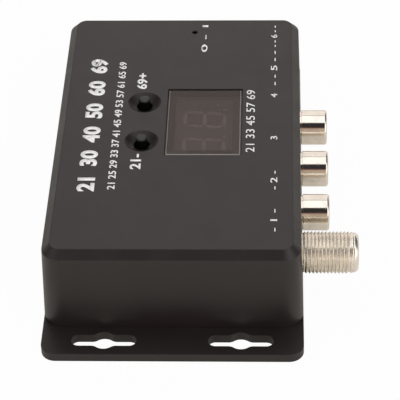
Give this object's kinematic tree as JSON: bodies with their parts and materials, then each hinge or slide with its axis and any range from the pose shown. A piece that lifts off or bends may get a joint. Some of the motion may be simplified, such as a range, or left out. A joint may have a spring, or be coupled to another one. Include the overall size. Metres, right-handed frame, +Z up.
{
  "type": "rf modulator",
  "caption": "Black moulded box on a flanged base plate with keyhole slots, a smoked display window, two channel buttons and a side row of aerial, phono, jack and supply sockets.",
  "frame": {"origin": "middle of the base plate's underside", "axes": "+X towards the sockets, +Y along the case away from the aerial socket's end, +Z up through the top face"},
  "size_m": [0.0702, 0.1084, 0.0243],
  "materials": {
    "case_plastic": "fine-grained satin moulding",
    "base_plastic": "fine-grained satin moulding",
    "button_plastic": "satin moulding",
    "smoked_window": "polished smoked acrylic",
    "board_green": "solder mask over glass laminate",
    "black_plastic": "moulded",
    "segment_resin": "unlit milky resin",
    "tinned_metal": "tinned",
    "gold_metal": "gold flash",
    "spring_metal": "polished spring strip",
    "clear_resin": "water-clear resin",
    "nickel_plate": "bright nickel plate",
    "white_plastic": "moulded",
    "yellow_plastic": "moulded",
    "red_plastic": "moulded",
    "can_tinplate": "tinplate",
    "chip_epoxy": "moulded epoxy",
    "capacitor_sleeve": "dark shrunk sleeve",
    "ferrite": "fired ferrite",
    "passive_ceramic": "tinned ends",
    "screw_steel": "blackened"
  },
  "bodies": {
    "case": {"base_plate": "base_plastic", "upper_housing": "case_plastic", "display_window": "smoked_window", "main_board": "board_green", "display_board": "board_green", "display_module": "black_plastic", "display_segments": "segment_resin", "display_pins": "tinned_metal", "header_block": "black_plastic", "header_pins": "gold_metal", "switch_base_up": "black_plastic", "switch_base_down": "black_plastic", "switch_plate_up": "tinned_metal", "switch_plate_down": "tinned_metal", "snap_dome_up": "spring_metal", "snap_dome_down": "spring_metal", "switch_legs": "tinned_metal", "power_led": "clear_resin", "led_leads": "tinned_metal", "aerial_shell": "nickel_plate", "aerial_insulator": "white_plastic", "aerial_contact": "gold_metal", "video_block": "black_plastic", "video_shell": "nickel_plate", "video_insulator": "yellow_plastic", "video_contact": "spring_metal", "left_block": "black_plastic", "left_shell": "nickel_plate", "left_insulator": "white_plastic", "left_contact": "spring_metal", "right_block": "black_plastic", "right_shell": "nickel_plate", "right_insulator": "red_plastic", "right_contact": "spring_metal", "phono_tails": "tinned_metal", "jack_body": "black_plastic", "jack_springs": "gold_metal", "usb_shell": "tinned_metal", "usb_tongue": "black_plastic", "usb_contacts": "gold_metal", "rf_can": "can_tinplate", "rf_can_lid": "can_tinplate", "modulator_chip": "chip_epoxy", "controller_chip": "chip_epoxy", "chip_leads": "tinned_metal", "crystal": "can_tinplate", "regulator": "chip_epoxy", "capacitors": "capacitor_sleeve", "inductor": "ferrite", "chip_passives": "passive_ceramic", "case_screws": "screw_steel", "board_screws": "screw_steel", "display_screws": "screw_steel"},
    "button_up": {"button_up": "button_plastic"},
    "button_down": {"button_down": "button_plastic"}
  },
  "joints": [
    {"name": "button_up_press", "type": "slide", "parent": "case", "child": "button_up", "axis": [0, 0, -1], "range_m": [0, 0.00025], "stiffness_N_per_m": 6000, "springref_m": -0.00015, "deforming": ["snap_dome_up"]},
    {"name": "button_down_press", "type": "slide", "parent": "case", "child": "button_down", "axis": [0, 0, -1], "range_m": [0, 0.00025], "stiffness_N_per_m": 6000, "springref_m": -0.00015, "deforming": ["snap_dome_down"]}
  ]
}
